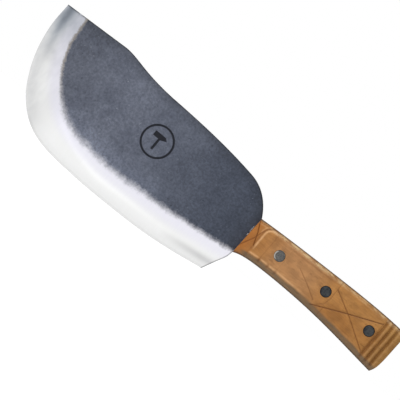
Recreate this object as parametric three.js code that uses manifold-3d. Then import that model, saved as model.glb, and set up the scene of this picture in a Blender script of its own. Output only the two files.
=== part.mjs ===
// A forged meat cleaver: one steel blade with a full tang, two wooden scales bedded on glue,
// and three two-part cutler's rivets.
//
// Millimetres. X runs along the grip towards the butt, Y runs through the blade from its stamped
// face to its back face, and Z points up to the spine, so the cutting edge is down as in use.
// The origin is on the middle rivet's axis, halfway through the tang.
import * as THREE from "three";
import { mergeVertices } from "three/addons/utils/BufferGeometryUtils.js";
import Module from "manifold-3d";

const wasm = await Module();
wasm.setup();

// ---- driving dimensions ----------------------------------------------------------------------

const PLATE = 4.2; // thickness of the blade above its grind, and of the tang
const EDGE = 0.4; // thickness left at the cutting edge
const SHARPENED = 1.9; // thickness where the sharpening bevel meets the ground bevel
const SHARPENED_SHARE = 0.34; // how much of the ground band the sharpening bevel takes

const GLUE = 0.3; // bedding layer between the tang and a scale
const GAP = 0.05; // clearance between pieces that lie against each other
const SCALE = 9; // thickness of a wooden scale
const SEAT = PLATE / 2 + GLUE + 2 * GAP; // mid-plane to a scale's inner face
const FACE = SEAT + SCALE; // mid-plane to a scale's outer face

const FRONT_X = -64; // front end of the scales, at the top
const FRONT_RAKE = 0.9; // how much further forward the front end is at the bottom
const BUTT_X = 60; // rear end of the scales, at the top
const BUTT_RAKE = 1; // how much the butt leans forward towards the bottom
const BUTT_CORNER = 2.9; // how far the bottom corner of the butt is rounded off

const HEAD_RADIUS = 3.9; // rivet heads
const HEAD_DEPTH = 1.8;
const BARREL_RADIUS = 2.7; // tubular half of a rivet
const SHANK_RADIUS = 1.9; // solid half, driven into the tube
const RIVET_CLEARANCE = 0.1;
const RIVET_PITCH = 39;
const RIVET_DROP = 1.6; // how much lower the outer rivets sit than the middle one

const STEP_X = -55.6; // the face of a scale is lower in front of this line
const STEP_DEPTH = 1.3;
const STEP_ROUNDING = 4.8; // upper corner of the raised part of the face
const STEP_TOP = 8.2;

const GROOVE = { width: 2.2, depth: 1.4 }; // the three grooves cut across the butt
const GROOVE_X = [45.2, 49.6, 54];
const CARVING = { width: 1, depth: 0.5 }; // lines cut in the face
const CARVED_LINES = [
  [[-3, -13.2], [43.9, 8]],
  [[5.5, 6.2], [44.1, -16.1]],
  [[5.4, -15.5], [5.4, 12]],
  [[-23.3, 0.9], [-3.2, -9.8]],
  [[-48.3, -14], [-48.3, -10.5]],
  [[-41.2, -14], [-41.2, -10.5]],
  [[-34.5, -14], [-34.5, -10.5]],
];
const FRONT_CROSS = [
  [[-64.4, 8.6], [-57, -8]],
  [[-65.4, -13.5], [-57.5, 5.4]],
];

const MARK_X = -151; // smith's mark: a ring with a hammer in it
const MARK_Z = 4.5;
const MARK_RADIUS = 12;
const MARK_LINE = 1.7;
const MARK_DEPTH = 0.35;

const STEPS = 60; // points along the cutting edge
const HEEL_STEPS = 8;
const GRIP_STEPS = 24; // points along the grip's top and bottom
const ROUND_STEPS = 28; // sides of a rivet

const COLOURS = {
  steel: { color: 0x575d68, roughness: 0.45, metalness: 0.9 },
  wood: { color: 0xb07c45, roughness: 0.6, metalness: 0 },
  rivet: { color: 0x3c424a, roughness: 0.4, metalness: 0.9 },
  glue: { color: 0xb9b4a4, roughness: 0.5, metalness: 0 },
};

// ---- outline of the grip ----------------------------------------------------------------------

// A smooth height over x, through knots that are evenly spaced from FRONT_X to BUTT_X.
function heightThrough(heights) {
  const knots = heights.map((z, i) => new THREE.Vector2(i, z));
  const curve = new THREE.SplineCurve(knots);
  return (x) => curve.getPoint(THREE.MathUtils.clamp((x - FRONT_X) / (BUTT_X - FRONT_X), 0, 1)).y;
}

const gripTop = heightThrough([9.8, 11.25, 12.4, 13.1, 13.55, 12.5]);
const gripBelly = heightThrough([-16.4, -16.1, -16.3, -17.4, -19.9, -22.4]);
const FLARE = 3; // the belly drops by this much at the blade, and levels out in FLARE_LENGTH
const FLARE_LENGTH = 7;

function gripBottom(x) {
  return gripBelly(x) - FLARE * Math.exp((FRONT_X - x) / FLARE_LENGTH);
}

// A point of the grip's side view: t runs from the blade to the butt, w from bottom to top.
function gripPoint(t, w) {
  const front = FRONT_X - FRONT_RAKE * (1 - w);
  const butt = BUTT_X - BUTT_RAKE * (1 - w) - BUTT_CORNER * (1 - w) ** 8;
  const x = THREE.MathUtils.lerp(front, butt, t);
  return new THREE.Vector2(x, THREE.MathUtils.lerp(gripBottom(x), gripTop(x), w));
}

// The grip's outline from its bottom front corner round the butt to its top front corner. share
// shrinks it, from 0 for the full outline to 1 for the flat of the outer face.
const INSET = { front: 1, butt: 1.6, top: 3.4, bottom: 4.6 };

function gripOutline(share) {
  const length = BUTT_X - FRONT_X;
  const height = gripTop(0) - gripBottom(0);
  const t0 = (share * INSET.front) / length;
  const t1 = 1 - (share * INSET.butt) / length;
  const w0 = (share * INSET.bottom) / height;
  const w1 = 1 - (share * INSET.top) / height;
  const points = [];
  const buttSteps = GRIP_STEPS / 2;
  for (let i = 0; i < GRIP_STEPS; i++) points.push(gripPoint(t0 + ((t1 - t0) * i) / GRIP_STEPS, w0));
  for (let i = 0; i < buttSteps; i++) points.push(gripPoint(t1, w0 + ((w1 - w0) * i) / buttSteps));
  for (let i = 0; i <= GRIP_STEPS; i++) points.push(gripPoint(t1 - ((t1 - t0) * i) / GRIP_STEPS, w1));
  return points;
}

// ---- outline of the blade -----------------------------------------------------------------------

const TIP = [-255.6, 36.6];
const GRIND_AT_SPINE = [-239.3, 37.5];
const HEEL = [-74, -41.6];
const GROUND_HEEL = 0.88; // how much of the heel line is ground, from its corner up

function curveThrough(points) {
  const at = points.map(([x, z]) => new THREE.Vector3(x, z, 0));
  return new THREE.CatmullRomCurve3(at, false, "centripetal");
}

const heelLine = curveThrough([HEEL, [-69.6, -32.3], [-66, -24.9], gripPoint(0, 0).toArray()]);
const cuttingEdge = curveThrough([
  TIP,
  [-255.7, 19],
  [-252.6, 1],
  [-246.2, -15.9],
  [-236.4, -30.9],
  [-222.4, -42.1],
  [-205.2, -47.5],
  [-180, -49.3],
  [-150, -49.45],
  [-122, -48.4],
  [-98, -45.7],
  HEEL,
]);
const grindLine = curveThrough([
  GRIND_AT_SPINE,
  [-237.8, 19],
  [-234.7, 9],
  [-228.9, -2],
  [-221.1, -12],
  [-209.5, -21.5],
  [-195, -26.6],
  [-178, -28.6],
  [-160, -29.2],
  [-140, -27.9],
  [-118, -26.2],
  [-95, -23.5],
  heelLine.getPointAt(GROUND_HEEL).toArray(),
]);

// The back of the blade, from the grip up round the shoulder and along the spine to the hump.
function spinePoints() {
  const spine = new THREE.Path();
  spine.moveTo(-64.2, 10.3);
  spine.bezierCurveTo(-70.1, 20.6, -78, 26.6, -88, 28.2);
  spine.bezierCurveTo(-106.6, 31.1, -127.7, 33, -162, 33.6);
  spine.bezierCurveTo(-188.6, 34.7, -195.7, 39.4, -207, 39.4);
  return spine.getPoints(12);
}

// The whole outline of blade and tang, with its edge moved towards the grind line by share.
function bladeOutline(share) {
  const points = [];
  for (let i = 0; i < STEPS; i++) {
    const ground = grindLine.getPointAt(i / STEPS);
    points.push(cuttingEdge.getPointAt(i / STEPS).lerp(ground, share));
  }
  for (let i = 0; i < HEEL_STEPS; i++) {
    const along = THREE.MathUtils.lerp(share * GROUND_HEEL, 1, i / HEEL_STEPS);
    points.push(heelLine.getPointAt(along));
  }
  return [...points, ...gripOutline(0), ...spinePoints()];
}

// ---- solids ---------------------------------------------------------------------------------------

// A closed skin over rings of equally many points, each { y, points }, ordered from low y to high.
// The points are in the X-Z plane and go round anticlockwise as seen along +Y.
function stack(rings) {
  const count = rings[0].points.length;
  const position = rings.flatMap(({ y, points }) => points.flatMap((p) => [p.x, y, p.y]));
  const index = [];
  for (let level = 0; level < rings.length - 1; level++) {
    for (let i = 0; i < count; i++) {
      const j = (i + 1) % count;
      const [a, b] = [level * count + i, level * count + j];
      index.push(a, a + count, b, b, a + count, b + count);
    }
  }
  const last = (rings.length - 1) * count;
  for (const [a, b, c] of THREE.ShapeUtils.triangulateShape(rings[0].points, [])) index.push(a, b, c);
  for (const [a, b, c] of THREE.ShapeUtils.triangulateShape(rings.at(-1).points, []))
    index.push(last + a, last + c, last + b);
  const geometry = new THREE.BufferGeometry();
  geometry.setAttribute("position", new THREE.Float32BufferAttribute(position, 3));
  geometry.setIndex(index);
  return geometry;
}

// A shape drawn in the X-Z plane, thickened from y to y + depth.
function slab(shape, y, depth) {
  const geometry = new THREE.ExtrudeGeometry(shape, { depth, bevelEnabled: false, curveSegments: 24 });
  return geometry.rotateX(Math.PI / 2).translate(0, y + depth, 0);
}

function toManifold(geometry) {
  const bare = geometry.clone();
  bare.deleteAttribute("normal");
  bare.deleteAttribute("uv");
  const merged = mergeVertices(bare, 1e-4);
  const mesh = new wasm.Mesh({
    numProp: 3,
    vertProperties: merged.attributes.position.array,
    triVerts: new Uint32Array(merged.index.array),
  });
  return new wasm.Manifold(mesh);
}

function cut(geometry, tools) {
  const solid = tools.reduce((left, tool) => left.subtract(toManifold(tool)), toManifold(geometry));
  const mesh = solid.getMesh();
  const result = new THREE.BufferGeometry();
  result.setAttribute("position", new THREE.Float32BufferAttribute(mesh.vertProperties, 3));
  result.setIndex(new THREE.BufferAttribute(mesh.triVerts, 1));
  return result;
}

const rivets = [-1, 0, 1].map((place) => ({
  name: ["front", "middle", "rear"][place + 1],
  x: place * RIVET_PITCH,
  z: -RIVET_DROP * place ** 2,
}));

// A drill along Y through every rivet position, between y0 and y1.
function drills(radius, y0, y1) {
  return rivets.map(({ x, z }) => {
    const drill = new THREE.CylinderGeometry(radius, radius, Math.abs(y1 - y0), ROUND_STEPS);
    return drill.translate(x, (y0 + y1) / 2, z);
  });
}

// ---- blade with tang --------------------------------------------------------------------------------

// The smith's mark: a ring, with a hammer's head across it and its handle below.
function markShapes() {
  const ring = new THREE.Shape().absarc(MARK_X, MARK_Z, MARK_RADIUS, 0, 2 * Math.PI);
  ring.holes.push(new THREE.Path().absarc(MARK_X, MARK_Z, MARK_RADIUS - MARK_LINE, 0, 2 * Math.PI));
  const head = { halfWidth: 5.4, top: 5.6, bottom: 1.6 };
  const handle = { halfWidth: 0.95, bottom: -6.6 };
  const hammer = new THREE.Shape();
  const corners = [
    [-head.halfWidth, head.top],
    [-head.halfWidth, head.bottom],
    [-handle.halfWidth, head.bottom],
    [-handle.halfWidth, handle.bottom],
    [handle.halfWidth, handle.bottom],
    [handle.halfWidth, head.bottom],
    [head.halfWidth, (head.top + head.bottom) / 2],
    [head.halfWidth * 0.6, head.top],
  ];
  hammer.setFromPoints(corners.map(([x, z]) => new THREE.Vector2(MARK_X + x, MARK_Z + z)));
  return [ring, hammer];
}

function makeBlade() {
  const half = PLATE / 2;
  const rings = [
    { y: half, share: 1 },
    { y: SHARPENED / 2, share: SHARPENED_SHARE },
    { y: EDGE / 2, share: 0 },
  ];
  const front = rings.map(({ y, share }) => ({ y: -y, points: bladeOutline(share) }));
  const back = rings.map(({ y, share }) => ({ y, points: bladeOutline(share) })).reverse();
  const engraving = markShapes().map((shape) => slab(shape, -half - 1, 1 + MARK_DEPTH));
  return cut(stack([...front, ...back]), [
    ...drills(BARREL_RADIUS + RIVET_CLEARANCE, -PLATE, PLATE),
    ...engraving,
  ]);
}

// ---- grip ---------------------------------------------------------------------------------------------

// side is -1 for the front of the tang and 1 for the back.
function makeScale(side) {
  const rounding = [
    { height: 0, share: 0 },
    { height: SCALE - 3.6, share: 0 },
    { height: SCALE - 1.2, share: 0.36 },
    { height: SCALE, share: 1 },
  ];
  const rings = rounding.map(({ height, share }) => ({
    y: side * (SEAT + height),
    points: gripOutline(share),
  }));
  const body = stack(rings.sort((a, b) => a.y - b.y));
  const clear = side * (FACE + 1);
  return cut(body, [
    ...drills(HEAD_RADIUS + RIVET_CLEARANCE, side * (FACE - HEAD_DEPTH - RIVET_CLEARANCE), clear),
    ...drills(BARREL_RADIUS + RIVET_CLEARANCE, side * (SEAT - 1), clear),
    frontStep(side),
    ...GROOVE_X.map((x) => carving([[x, -40], [x, 30]], GROOVE, side, FACE)),
    ...CARVED_LINES.map((line) => carving(line, CARVING, side, FACE)),
    ...FRONT_CROSS.map((line) => carving(line, CARVING, side, FACE - STEP_DEPTH)),
  ]);
}

// Everything above the low front part of a scale's face.
function frontStep(side) {
  const raised = new THREE.Shape();
  raised.moveTo(-80, -40);
  raised.lineTo(STEP_X, -40);
  raised.lineTo(STEP_X, STEP_TOP - STEP_ROUNDING);
  raised.absarc(STEP_X + STEP_ROUNDING, STEP_TOP - STEP_ROUNDING, STEP_ROUNDING, Math.PI, Math.PI / 2, true);
  raised.lineTo(STEP_X + STEP_ROUNDING, 30);
  raised.lineTo(-80, 30);
  return slab(raised, side < 0 ? -FACE - 1 : FACE - STEP_DEPTH, STEP_DEPTH + 1);
}

// A V-shaped cutter along a line on one side of the grip, at a height above the mid-plane.
function carving([from, to], { width, depth }, side, height) {
  const clear = 1; // how far the cutter stands out of the face
  const reach = (width / 2) * (1 + clear / depth);
  const section = new THREE.Shape();
  section.moveTo(0, -depth);
  section.lineTo(reach, clear);
  section.lineTo(-reach, clear);
  const start = new THREE.Vector3(from[0], side * height, from[1]);
  const run = new THREE.Vector3(to[0] - from[0], 0, to[1] - from[1]);
  const cutter = new THREE.ExtrudeGeometry(section, { depth: run.length(), bevelEnabled: false });
  const outward = new THREE.Vector3(0, side, 0);
  const along = run.normalize();
  const across = outward.clone().cross(along);
  return cutter.applyMatrix4(new THREE.Matrix4().makeBasis(across, outward, along).setPosition(start));
}

function makeGlue(side) {
  const near = side * (PLATE / 2 + GAP);
  const far = side * (PLATE / 2 + GAP + GLUE);
  const rings = [near, far].map((y) => ({ y, points: gripOutline(0) }));
  return cut(
    stack(rings.sort((a, b) => a.y - b.y)),
    drills(BARREL_RADIUS + RIVET_CLEARANCE, -FACE, FACE),
  );
}

// ---- rivets -------------------------------------------------------------------------------------------

const HEAD_FACE = FACE - GAP; // the heads are ground flush with the wood
const HEAD_BACK = HEAD_FACE - HEAD_DEPTH;
const HEAD_CHAMFER = 0.25;

function turned(profile) {
  return new THREE.LatheGeometry(profile.map(([r, y]) => new THREE.Vector2(r, y)), ROUND_STEPS);
}

// The tubular half. Its head is in the front scale, and its tube reaches through to the back one.
function makeBarrel() {
  const mouth = HEAD_BACK - 1;
  const bore = SHANK_RADIUS + RIVET_CLEARANCE;
  return turned([
    [0, -HEAD_FACE],
    [HEAD_RADIUS - HEAD_CHAMFER, -HEAD_FACE],
    [HEAD_RADIUS, -HEAD_FACE + HEAD_CHAMFER],
    [HEAD_RADIUS, -HEAD_BACK],
    [BARREL_RADIUS, -HEAD_BACK],
    [BARREL_RADIUS, mouth],
    [bore, mouth],
    [bore, -HEAD_BACK],
    [0, -HEAD_BACK],
  ]);
}

// The solid half. Its head is in the back scale, and its shank fills the tube.
function makeShank() {
  const point = -HEAD_BACK + 1;
  return turned([
    [0, point],
    [SHANK_RADIUS, point],
    [SHANK_RADIUS, HEAD_BACK],
    [HEAD_RADIUS, HEAD_BACK],
    [HEAD_RADIUS, HEAD_FACE - HEAD_CHAMFER],
    [HEAD_RADIUS - HEAD_CHAMFER, HEAD_FACE],
    [0, HEAD_FACE],
  ]);
}

// ---- assembly -------------------------------------------------------------------------------------------

const cleaver = new THREE.Group();

function add(name, geometry, finish) {
  const mesh = new THREE.Mesh(geometry, new THREE.MeshStandardMaterial(COLOURS[finish]));
  mesh.name = name;
  cleaver.add(mesh);
  return mesh;
}

add("blade_and_tang", makeBlade(), "steel");
for (const [place, side] of [["front", -1], ["back", 1]]) {
  add(`${place}_glue_layer`, makeGlue(side), "glue");
  add(`${place}_scale`, makeScale(side), "wood");
}
for (const { name, x, z } of rivets) {
  add(`${name}_rivet_barrel`, makeBarrel(), "rivet").position.set(x, 0, z);
  add(`${name}_rivet_shank`, makeShank(), "rivet").position.set(x, 0, z);
}

export default cleaver;
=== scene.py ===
"""The looks of a forged meat cleaver: a scale-dark blade with a bright ground edge, two carved
wooden scales on a full tang, and dark steel rivets. Shapes are worked out in millimetres."""
import math
from functools import reduce

import bpy
import numpy as np
from mathutils import Matrix, Vector
from mathutils.geometry import delaunay_2d_cdt


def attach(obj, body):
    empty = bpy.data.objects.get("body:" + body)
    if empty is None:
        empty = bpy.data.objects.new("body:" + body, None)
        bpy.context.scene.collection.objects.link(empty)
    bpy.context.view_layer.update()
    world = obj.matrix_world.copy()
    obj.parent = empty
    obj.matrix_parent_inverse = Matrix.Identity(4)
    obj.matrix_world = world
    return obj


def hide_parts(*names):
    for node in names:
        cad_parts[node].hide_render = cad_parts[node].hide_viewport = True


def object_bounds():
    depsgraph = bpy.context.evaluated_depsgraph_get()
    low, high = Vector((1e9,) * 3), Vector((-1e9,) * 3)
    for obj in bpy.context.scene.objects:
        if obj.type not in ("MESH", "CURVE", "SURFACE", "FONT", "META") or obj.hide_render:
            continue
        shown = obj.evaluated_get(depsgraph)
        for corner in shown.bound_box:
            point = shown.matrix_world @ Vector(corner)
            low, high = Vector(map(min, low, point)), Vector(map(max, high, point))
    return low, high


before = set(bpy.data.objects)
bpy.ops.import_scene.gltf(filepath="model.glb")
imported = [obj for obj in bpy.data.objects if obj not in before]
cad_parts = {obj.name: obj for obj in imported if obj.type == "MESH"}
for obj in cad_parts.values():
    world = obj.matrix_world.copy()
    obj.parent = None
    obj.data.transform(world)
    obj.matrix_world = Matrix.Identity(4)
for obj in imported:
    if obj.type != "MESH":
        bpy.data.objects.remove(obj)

cad_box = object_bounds()

MM = 0.001
TINY = 1e-6  # keeps a division away from zero
FRONT, BACK = -1, 1  # sides of the tang, as the sign of Y
SIDES = {"front": FRONT, "back": BACK}
WHITE = (1, 1, 1, 1)


def add_object(name, data):
    made = bpy.data.objects.new(name, data)
    bpy.context.collection.objects.link(made)
    return made


def make_mesh(name, points, faces):
    mesh = bpy.data.meshes.new(name)
    mesh.from_pydata(points, [], faces)
    return mesh


# ---- camera, world, lights and floor ------------------------------------------------------------

VIEW_CENTRE = Vector((-103.9, 0, -7.1)) * MM
VIEW_WIDTH = 268 * MM
VIEW_ROLL = math.radians(40)  # the grip points this far below the picture's right
LENS, SENSOR = 1000, 36  # long enough for an almost parallel view

FILL_COLOUR, FILL_STRENGTH = (0.95, 0.97, 1, 1), 0.45
FLOOR_REACH, FLOOR_GAP = 8, 0.2 * MM  # metres; the gap keeps the edge clear of the floor
FLOOR_COLOUR, FLOOR_ROUGHNESS = (0.35, 0.35, 0.35, 1), 0.9
FLOOR_SEEN, FLOOR_CAST = 0.9, 0.3  # the floor's glow as it is seen, and as it lights the cleaver
LIGHTS = {  # place and target in metres, diameter in metres, and watts
    "key": ((-0.3, -0.9, 1.2), (-0.1, 0, 0), 0.9, 9),
    "panel": ((-0.8, -1.2, 0.1), (-0.2, 0, 0), 1.0, 1.6),
    "back": ((0.4, 1.3, 0.9), (-0.1, 0, 0), 1.2, 8),
}


def make_camera():
    data = bpy.data.cameras.new("camera")
    data.lens, data.sensor_width = LENS, SENSOR
    camera = add_object("camera", data)
    across = Vector((math.cos(VIEW_ROLL), 0, math.sin(VIEW_ROLL)))
    up = Vector((-math.sin(VIEW_ROLL), 0, math.cos(VIEW_ROLL)))
    back = Vector((0, -1, 0))
    turn = Matrix((across, up, back)).transposed().to_4x4()
    place = VIEW_CENTRE + back * (VIEW_WIDTH * LENS / SENSOR)
    camera.matrix_world = Matrix.Translation(place) @ turn
    bpy.context.scene.camera = camera


def make_world():
    """A soft fill light that the camera sees as white."""
    world = bpy.data.worlds.new("studio")
    world.use_nodes = True
    tree = world.node_tree
    fill, seen = tree.nodes["Background"], tree.nodes.new("ShaderNodeBackground")
    fill.inputs["Color"].default_value = FILL_COLOUR
    fill.inputs["Strength"].default_value = FILL_STRENGTH
    seen.inputs["Color"].default_value = WHITE
    rays, mix = tree.nodes.new("ShaderNodeLightPath"), tree.nodes.new("ShaderNodeMixShader")
    tree.links.new(rays.outputs["Is Camera Ray"], mix.inputs["Fac"])
    tree.links.new(fill.outputs[0], mix.inputs[1])
    tree.links.new(seen.outputs[0], mix.inputs[2])
    tree.links.new(mix.outputs[0], tree.nodes["World Output"].inputs["Surface"])
    bpy.context.scene.world = world
    bpy.context.scene.view_settings.view_transform = "Standard"


def make_light(name, place, target, size, power):
    data = bpy.data.lights.new(name, "AREA")
    data.shape, data.size, data.energy = "DISK", size, power
    light = add_object(name, data)
    light.location = place
    light.rotation_mode = "QUATERNION"
    light.rotation_quaternion = (Vector(target) - Vector(place)).to_track_quat("-Z", "Y")


def make_floor(height):
    corners = [(-1, -1), (1, -1), (1, 1), (-1, 1)]
    points = [(FLOOR_REACH * x, FLOOR_REACH * y, height) for x, y in corners]
    mesh = make_mesh("floor", points, [(0, 1, 2, 3)])
    floor = add_object("floor", mesh)
    material = bpy.data.materials.new("floor")
    material.use_nodes = True
    tree = material.node_tree
    shader = tree.nodes["Principled BSDF"]
    shader.inputs["Base Color"].default_value = FLOOR_COLOUR
    shader.inputs["Roughness"].default_value = FLOOR_ROUGHNESS
    shader.inputs["Emission Color"].default_value = WHITE
    rays, glow = tree.nodes.new("ShaderNodeLightPath"), tree.nodes.new("ShaderNodeMapRange")
    glow.inputs["To Min"].default_value = FLOOR_SEEN
    glow.inputs["To Max"].default_value = FLOOR_CAST
    tree.links.new(rays.outputs["Is Diffuse Ray"], glow.inputs["Value"])
    tree.links.new(glow.outputs[0], shader.inputs["Emission Strength"])
    mesh.materials.append(material)


make_camera()
make_world()
make_floor(cad_box[0].z - FLOOR_GAP)
for light_name, settings in LIGHTS.items():
    make_light(light_name, *settings)

# ---- drawing in the X-Z plane -------------------------------------------------------------------

CURVE_STEPS = 40  # points on each stretch of a curve
NOISE_CELLS = 64  # cells after which the noise repeats


def resample(line, spacing):
    """The same line with points evenly spread along it."""
    length = np.concatenate([[0], np.cumsum(np.hypot(*np.diff(line, axis=0).T))])
    at = np.linspace(0, length[-1], max(2, round(length[-1] / spacing) + 1))
    return np.column_stack([np.interp(at, length, line[:, axis]) for axis in (0, 1)])


def smooth_curve(points, spacing):
    """A Catmull-Rom curve through points."""
    knots = np.array(points, float)
    knots = np.vstack([2 * knots[0] - knots[1], knots, 2 * knots[-1] - knots[-2]])
    t = np.linspace(0, 1, CURVE_STEPS, endpoint=False)[:, None]
    pieces = []
    for a, b, c, d in zip(knots, knots[1:], knots[2:], knots[3:]):
        bend = (2 * a - 5 * b + 4 * c - d) * t**2 + (3 * b - a - 3 * c + d) * t**3
        pieces.append(b + 0.5 * ((c - a) * t + bend))
    return resample(np.vstack([*pieces, knots[-2]]), spacing)


def bezier(a, b, c, d):
    t = np.linspace(0, 1, CURVE_STEPS)[:, None]
    a, b, c, d = (np.array(p, float) for p in (a, b, c, d))
    return a * (1 - t) ** 3 + 3 * b * t * (1 - t) ** 2 + 3 * c * t**2 * (1 - t) + d * t**3


def circle(x, z, radius, steps):
    angle = np.linspace(0, 2 * math.pi, steps, endpoint=False)
    return np.column_stack([x + radius * np.cos(angle), z + radius * np.sin(angle)])


def closed(line):
    return np.vstack([line, line[:1]])


def joined(sides):
    """Lines that meet end to end, as one, without the last point of each."""
    return np.vstack([side[:-1] for side in sides])


def to_line(points, line):
    """Each point's distance to a line, and its side: 1 on the left of the line's run, -1 on the right."""
    best = np.full(len(points), np.inf)
    side = np.zeros(len(points))
    for a, b in zip(line[:-1], line[1:]):
        run = b - a
        along = np.clip((points - a) @ run / (run @ run), 0, 1)
        distance = np.hypot(*(points - a - along[:, None] * run).T)
        turn = run[0] * (points[:, 1] - a[1]) - run[1] * (points[:, 0] - a[0])
        nearer = distance < best
        best[nearer] = distance[nearer]
        side[nearer] = np.sign(turn[nearer])
    return best, side


def inside_convex(points, corners):
    """How deep each point is inside a convex shape drawn anticlockwise; negative outside it."""
    depth = np.full(len(points), np.inf)
    for a, b in zip(corners, np.roll(corners, -1, axis=0)):
        run = (b - a) / np.hypot(*(b - a))
        depth = np.minimum(depth, run[0] * (points[:, 1] - a[1]) - run[1] * (points[:, 0] - a[0]))
    return depth


def noise(points, cell, seed):
    """Smooth random values from -1 to 1, with features about a cell across. cell may differ in X and Z."""
    table = np.random.default_rng(seed).uniform(-1, 1, (NOISE_CELLS, NOISE_CELLS))
    at = points / np.array(cell, float)
    low = np.floor(at).astype(int)
    part = at - low
    part = part * part * (3 - 2 * part)

    def corner(i, j):
        return table[(low[:, 0] + i) % NOISE_CELLS, (low[:, 1] + j) % NOISE_CELLS]

    near = corner(0, 0) + (corner(1, 0) - corner(0, 0)) * part[:, 0]
    far = corner(0, 1) + (corner(1, 1) - corner(0, 1)) * part[:, 0]
    return near + (far - near) * part[:, 1]


def unevenness(points, layers, side):
    """Noise made of layers of depth, cell and seed. Each side of the cleaver has its own."""
    return sum(depth * noise(points, cell, seed + side) for depth, cell, seed in layers)


def smoothstep(value, low, high):
    share = np.clip((value - low) / (high - low), 0, 1)
    return share * share * (3 - 2 * share)


def around(value, middle, width):
    """1 at the middle, falling to 0 away from it."""
    return np.exp(-(((value - middle) / width) ** 2))


def grid(low, high, spacing):
    """Seed points over a rectangle, with every other row shifted by half a step."""
    x, z = np.meshgrid(np.arange(low[0], high[0], spacing), np.arange(low[1], high[1], spacing))
    x[1::2] += spacing / 2
    return np.column_stack([x.ravel(), z.ravel()])


# ---- meshes -------------------------------------------------------------------------------------

SEED_CLEARANCE = 0.2  # seeds nearer than this to a drawn line are left out
SEED_BLOCK = 500  # seeds compared at a time
MERGE_DISTANCE = 1e-4
INSIDE_LOOPS = 1  # delaunay_2d_cdt's way of keeping only the triangles inside the loops


def make_object(name, mesh, material, node, crease=35):
    """A piece of the cleaver that stands for a CAD node. Edges sharper than crease stay sharp."""
    mesh.materials.append(material)
    mesh.shade_smooth()
    mesh.set_sharp_from_angle(angle=math.radians(crease))
    piece = add_object(name, mesh)
    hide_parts(node)
    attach(piece, "root")


def set_values(mesh, name, values):
    attribute = mesh.attributes.new(name, "FLOAT", "POINT")
    attribute.data.foreach_set("value", np.asarray(values, np.float32))


def triangulate(outline, holes, lines, seeds):
    """Triangles that fill an outline round its holes. lines become edges and seeds become vertices."""
    points, edges, loops = [], [], []
    for loop in (outline, *holes):
        loops.append(list(range(len(points), len(points) + len(loop))))
        points.extend(loop)
    for line in lines:
        start = len(points)
        edges.extend((i, i + 1) for i in range(start, start + len(line) - 1))
        points.extend(line)
    drawn = np.array(points)
    clear = np.full(len(seeds), True)
    for block in np.array_split(np.arange(len(seeds)), max(1, len(seeds) // SEED_BLOCK)):
        gap = seeds[block][:, None] - drawn[None]
        clear[block] = (gap**2).sum(2).min(1) > SEED_CLEARANCE**2
    points.extend(seeds[clear])
    flat_points = [Vector(p) for p in points]
    corners, _, faces, _, _, owners = delaunay_2d_cdt(
        flat_points, edges, loops, INSIDE_LOOPS, MERGE_DISTANCE
    )
    flat = np.array([tuple(p) for p in corners])
    # A face in a hole belongs to the hole's loop as well as to the outline's
    triangles = np.array([face for face, owner in zip(faces, owners) if owner == [0]])
    used = np.unique(triangles)
    renumber = np.zeros(len(flat), int)
    renumber[used] = np.arange(len(used))
    return flat[used], renumber[triangles]


def make_plate(name, flat, triangles, low, high):
    """A solid between two surfaces over one triangulation. low and high are Y at each flat point."""
    count = len(flat)
    sides = [np.column_stack([flat[:, 0], y, flat[:, 1]]) for y in (low, high)]
    edges = np.vstack([triangles[:, [0, 1]], triangles[:, [1, 2]], triangles[:, [2, 0]]])
    keys = np.sort(edges, axis=1) @ [count, 1]
    _, first, uses = np.unique(keys, return_index=True, return_counts=True)
    border = edges[first[uses == 1]]
    walls = np.column_stack([border[:, 1], border[:, 0], border[:, 0] + count, border[:, 1] + count])
    faces = [*triangles.tolist(), *(triangles[:, ::-1] + count).tolist(), *walls.tolist()]
    return make_mesh(name, np.vstack(sides) * MM, faces)


# ---- outline of the grip ------------------------------------------------------------------------

PLATE, GLUE, SCALE = 4.2, 0.3, 9  # thickness of the steel, of a glue layer and of a wooden scale
GAP = 0.05  # on each side of a glue layer
SEAT = PLATE / 2 + GLUE + 2 * GAP  # from the middle of the tang to a scale's inner face
FACE = SEAT + SCALE  # and to its outer face

FRONT_X, FRONT_RAKE = -64, 0.9  # the front end's top corner, and how far its bottom corner is before it
BUTT_X, BUTT_RAKE, BUTT_CORNER = 60, 1, 2.9  # the same at the butt, and its rounded bottom corner
FLARE, FLARE_LENGTH = 3, 7  # how far the bottom drops towards the heel, and over what length
KNOTS = np.linspace(FRONT_X, BUTT_X, 6)  # X of the heights that the top and bottom are fitted to
grip_top = np.polynomial.Polynomial.fit(KNOTS, [9.8, 11.25, 12.4, 13.1, 13.55, 12.5], 4)
grip_belly = np.polynomial.Polynomial.fit(KNOTS, [-16.4, -16.1, -16.3, -17.4, -19.9, -22.4], 4)
GRIP_LENGTH, GRIP_DEPTH = 125, 31  # round figures, which turn an inset into a share of the grip
RING_POINTS, RING_STEP = 60, 0.7  # points on each side before it is evened out, and spacing after

RIVETS = {"front": (-39, -1.6), "middle": (0, 0), "rear": (39, -1.6)}  # X and Z of the axes
HEAD_RADIUS, HEAD_DEPTH = 3.9, 1.8
BARREL_RADIUS, SHANK_RADIUS = 2.7, 1.9
CLEARANCE = 0.1  # round a rivet, and between its halves
BARREL_HOLE_STEPS, TURNING_STEPS = 32, 72


def grip_bottom(x):
    return grip_belly(x) - FLARE * np.exp((FRONT_X - x) / FLARE_LENGTH)


def front_x(w):
    return FRONT_X - FRONT_RAKE * (1 - w)


def butt_x(w):
    return BUTT_X - BUTT_RAKE * (1 - w) - BUTT_CORNER * (1 - w) ** 8


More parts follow.
